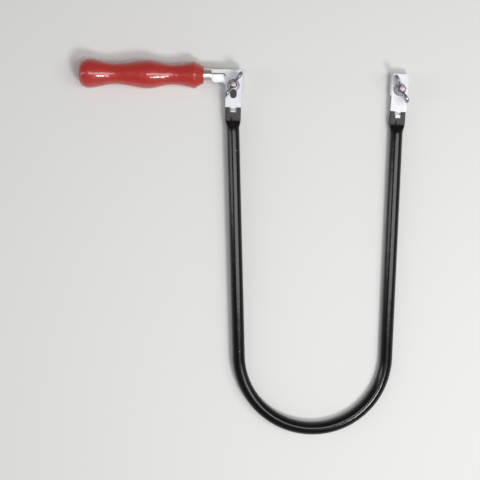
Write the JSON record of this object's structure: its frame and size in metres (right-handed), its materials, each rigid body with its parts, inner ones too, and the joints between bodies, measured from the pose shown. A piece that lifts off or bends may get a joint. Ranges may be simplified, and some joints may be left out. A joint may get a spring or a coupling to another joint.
{
  "type": "fretsaw frame",
  "caption": "Deep U-shaped tubular saw frame with a turned wooden handle and a wing-nut blade clamp at each open end.",
  "frame": {"origin": "centre of the footprint, on the surface that the saw's lowest point touches", "axes": "+X from the handle to the far clamp, +Y from the bend up to the clamps, +Z along the clamp screws towards the wing nuts"},
  "size_m": [0.265, 0.3029, 0.0291],
  "materials": {
    "black_paint": "gloss black stove enamel on steel tube",
    "zinc_sheet": "bright zinc-plated sheet steel",
    "steel_rod": "plain drawn steel",
    "nickel": "bright nickel-plated",
    "red_lacquer": "turned wood under gloss red lacquer",
    "zinc_screw": "zinc-plated screw",
    "zinc_nut": "zinc-plated wing nut and washer"
  },
  "bodies": {
    "frame": {"bow_tube": "black_paint", "handle_bracket": "zinc_sheet", "far_bracket": "zinc_sheet", "tang": "steel_rod", "ferrule": "nickel", "handle": "red_lacquer", "handle_clamp_screw": "zinc_screw", "far_clamp_screw": "zinc_screw"},
    "handle_washer": {"handle_clamp_washer": "zinc_nut"},
    "handle_nut": {"handle_wing_nut": "zinc_nut"},
    "far_washer": {"far_clamp_washer": "zinc_nut"},
    "far_nut": {"far_wing_nut": "zinc_nut"}
  },
  "joints": [
    {"name": "handle_washer_slide", "type": "slide", "parent": "frame", "child": "handle_washer", "axis": [0, 0, 1], "range_m": [0, 0.0048]},
    {"name": "handle_nut_turn", "type": "hinge", "parent": "handle_washer", "child": "handle_nut", "pos_m": [-0.00844, 0.12923, 0.012], "axis": [0, 0, 1], "range_deg": [0, 2160]},
    {"name": "far_washer_slide", "type": "slide", "parent": "frame", "child": "far_washer", "axis": [0, 0, 1], "range_m": [0, 0.0048]},
    {"name": "far_nut_turn", "type": "hinge", "parent": "far_washer", "child": "far_nut", "pos_m": [0.12517, 0.12571, 0.012], "axis": [0, 0, 1], "range_deg": [0, 2160]}
  ],
  "couplings": [
    {"joint": "handle_nut_turn", "follows": "handle_washer_slide", "rad_per_m": 7854},
    {"joint": "far_nut_turn", "follows": "far_washer_slide", "rad_per_m": 7854}
  ]
}
